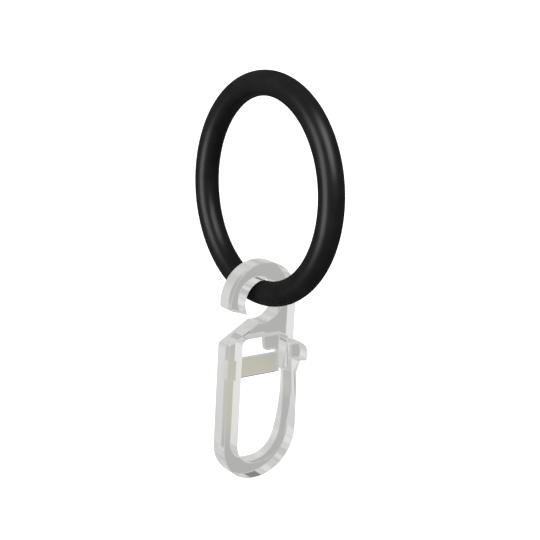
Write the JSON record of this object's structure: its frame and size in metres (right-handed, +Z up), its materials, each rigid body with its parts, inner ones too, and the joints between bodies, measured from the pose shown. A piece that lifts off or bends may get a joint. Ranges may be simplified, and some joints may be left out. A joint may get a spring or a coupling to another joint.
{
  "type": "curtain ring",
  "caption": "Round black wire curtain ring with a clear clip-on pleat hook that swings from it; the ring slides on a pole and the hook holds the curtain's heading tape.",
  "frame": {"origin": "the centre of the ring's hole, on the pole's line when the pole is centred in it", "axes": "+Z up, +Y along the pole, +X across the ring; the hook hangs towards -Z, its plate lies in the YZ plane and its thumb tab points towards +Y"},
  "size_m": [0.037, 0.0161, 0.0667],
  "materials": {
    "black_coat": "satin",
    "clear_plastic": "clear"
  },
  "bodies": {
    "ring": {"ring": "black_coat"},
    "hook": {"pleat_hook": "clear_plastic"}
  },
  "joints": [
    {"name": "hook_swing", "type": "hinge", "parent": "ring", "child": "hook", "pos_m": [0, 0, -0.0165], "axis": [1, 0, 0], "range_deg": [-160, 160]}
  ]
}
